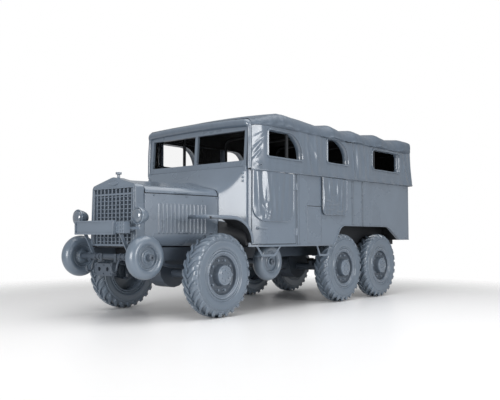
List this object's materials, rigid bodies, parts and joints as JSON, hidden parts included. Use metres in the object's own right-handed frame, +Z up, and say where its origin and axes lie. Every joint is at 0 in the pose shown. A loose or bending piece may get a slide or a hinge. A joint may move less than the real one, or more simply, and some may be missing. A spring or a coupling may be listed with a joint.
{
  "type": "military cargo truck",
  "caption": "Six-wheeled cross-country military cargo truck with a canvas top over a steel body, guide rollers, opening doors, bonnet lids and tailgate.",
  "frame": {"origin": "on the floor, midway along the truck's length and width", "axes": "+X forward along the truck, +Y to the truck's left, +Z up"},
  "size_m": [5.611, 2.011, 2.525],
  "materials": {
    "body_paint": "satin",
    "chassis_paint": "satin",
    "tyre_rubber": "satin",
    "canvas": "matte",
    "clear_glass": "clear",
    "seat_leather": "matte",
    "lamp_shell": "gloss"
  },
  "bodies": {
    "truck": {"body_floor": "body_paint", "body_sides": "body_paint", "bonnet_sides": "body_paint", "canvas_rear": "canvas", "canvas_roof": "canvas", "canvas_sides": "canvas", "chassis_crossmembers": "chassis_paint", "chassis_rails": "chassis_paint", "engine_block": "chassis_paint", "footsteps": "body_paint", "front_axle": "chassis_paint", "front_fenders": "body_paint", "front_seats": "seat_leather", "headlamps": "lamp_shell", "hood_bows": "chassis_paint", "lamp_bar": "body_paint", "leaf_springs": "chassis_paint", "propeller_shafts": "chassis_paint", "radiator_grille": "body_paint", "radiator_shell": "body_paint", "rear_axles": "chassis_paint", "roller_axles": "chassis_paint", "scuttle": "body_paint", "side_flaps": "canvas", "tow_bracket": "chassis_paint", "windscreen_frame": "body_paint", "windscreen_glass": "clear_glass"},
    "wheel_front_left": {"tyre_front_left": "tyre_rubber", "wheel_front_left": "body_paint"},
    "wheel_front_right": {"tyre_front_right": "tyre_rubber", "wheel_front_right": "body_paint"},
    "wheel_middle_left": {"tyre_middle_left": "tyre_rubber", "wheel_middle_left": "body_paint"},
    "wheel_middle_right": {"tyre_middle_right": "tyre_rubber", "wheel_middle_right": "body_paint"},
    "wheel_rear_left": {"tyre_rear_left": "tyre_rubber", "wheel_rear_left": "body_paint"},
    "wheel_rear_right": {"tyre_rear_right": "tyre_rubber", "wheel_rear_right": "body_paint"},
    "roller_front_left": {"roller_front_left": "tyre_rubber"},
    "roller_front_right": {"roller_front_right": "tyre_rubber"},
    "roller_side_left": {"roller_side_left": "tyre_rubber"},
    "roller_side_right": {"roller_side_right": "tyre_rubber"},
    "knuckle_left": {"knuckle_left": "chassis_paint"},
    "door_left": {"door_left": "body_paint", "door_flap_left": "canvas"},
    "bonnet_lid_left": {"bonnet_lid_left": "body_paint"},
    "knuckle_right": {"knuckle_right": "chassis_paint"},
    "door_right": {"door_right": "body_paint", "door_flap_right": "canvas"},
    "bonnet_lid_right": {"bonnet_lid_right": "body_paint"},
    "tailgate": {"tailgate": "body_paint"},
    "steering_wheel": {"steering_wheel": "chassis_paint"}
  },
  "joints": [
    {"name": "spin_front_left", "type": "hinge", "parent": "knuckle_left", "child": "wheel_front_left", "pos_m": [1.7045, 0.832, 0.48], "axis": [0, 1, 0], "continuous": true},
    {"name": "spin_front_right", "type": "hinge", "parent": "knuckle_right", "child": "wheel_front_right", "pos_m": [1.7045, -0.832, 0.48], "axis": [0, 1, 0], "continuous": true},
    {"name": "spin_middle_left", "type": "hinge", "parent": "truck", "child": "wheel_middle_left", "pos_m": [-0.8315, 0.832, 0.48], "axis": [0, 1, 0], "continuous": true},
    {"name": "spin_middle_right", "type": "hinge", "parent": "truck", "child": "wheel_middle_right", "pos_m": [-0.8315, -0.832, 0.48], "axis": [0, 1, 0], "continuous": true},
    {"name": "spin_rear_left", "type": "hinge", "parent": "truck", "child": "wheel_rear_left", "pos_m": [-1.8755, 0.832, 0.48], "axis": [0, 1, 0], "continuous": true},
    {"name": "spin_rear_right", "type": "hinge", "parent": "truck", "child": "wheel_rear_right", "pos_m": [-1.8755, -0.832, 0.48], "axis": [0, 1, 0], "continuous": true},
    {"name": "spin_roller_front_left", "type": "hinge", "parent": "truck", "child": "roller_front_left", "pos_m": [2.5655, 0.58, 0.693], "axis": [0, 1, 0], "continuous": true},
    {"name": "spin_roller_front_right", "type": "hinge", "parent": "truck", "child": "roller_front_right", "pos_m": [2.5655, -0.58, 0.693], "axis": [0, 1, 0], "continuous": true},
    {"name": "spin_roller_side_left", "type": "hinge", "parent": "truck", "child": "roller_side_left", "pos_m": [0.6945, 0.76, 0.605], "axis": [0, 1, 0], "continuous": true},
    {"name": "spin_roller_side_right", "type": "hinge", "parent": "truck", "child": "roller_side_right", "pos_m": [0.6945, -0.76, 0.605], "axis": [0, 1, 0], "continuous": true},
    {"name": "steer_left", "type": "hinge", "parent": "truck", "child": "knuckle_left", "pos_m": [1.7045, 0.76, 0.48], "axis": [0, 0, 1], "range_deg": [-28, 28]},
    {"name": "door_left_swing", "type": "hinge", "parent": "truck", "child": "door_left", "pos_m": [0.3865, 0.9955, 1.27], "axis": [0, 0, 1], "range_deg": [0, 75]},
    {"name": "bonnet_left_lift", "type": "hinge", "parent": "truck", "child": "bonnet_lid_left", "pos_m": [2.4115, 0.0045, 1.572], "axis": [0.9998, 0, -0.0178], "range_deg": [0, 70]},
    {"name": "steer_right", "type": "hinge", "parent": "truck", "child": "knuckle_right", "pos_m": [1.7045, -0.76, 0.48], "axis": [0, 0, 1], "range_deg": [-28, 28]},
    {"name": "door_right_swing", "type": "hinge", "parent": "truck", "child": "door_right", "pos_m": [0.3865, -0.9955, 1.27], "axis": [0, 0, -1], "range_deg": [0, 75]},
    {"name": "bonnet_right_lift", "type": "hinge", "parent": "truck", "child": "bonnet_lid_right", "pos_m": [2.4115, -0.0045, 1.572], "axis": [-0.9998, 0, 0.0178], "range_deg": [0, 70]},
    {"name": "tailgate_drop", "type": "hinge", "parent": "truck", "child": "tailgate", "pos_m": [-2.722, 0, 0.891], "axis": [0, -1, 0], "range_deg": [0, 90]},
    {"name": "steering_wheel_turn", "type": "hinge", "parent": "truck", "child": "steering_wheel", "pos_m": [1.01432, 0.4, 1.34257], "axis": [-0.848, 0, 0.5299], "range_deg": [-560, 560]}
  ],
  "couplings": [
    {"joint": "steer_right", "follows": "steer_left", "ratio": 1},
    {"joint": "steering_wheel_turn", "follows": "steer_left", "ratio": 20}
  ]
}
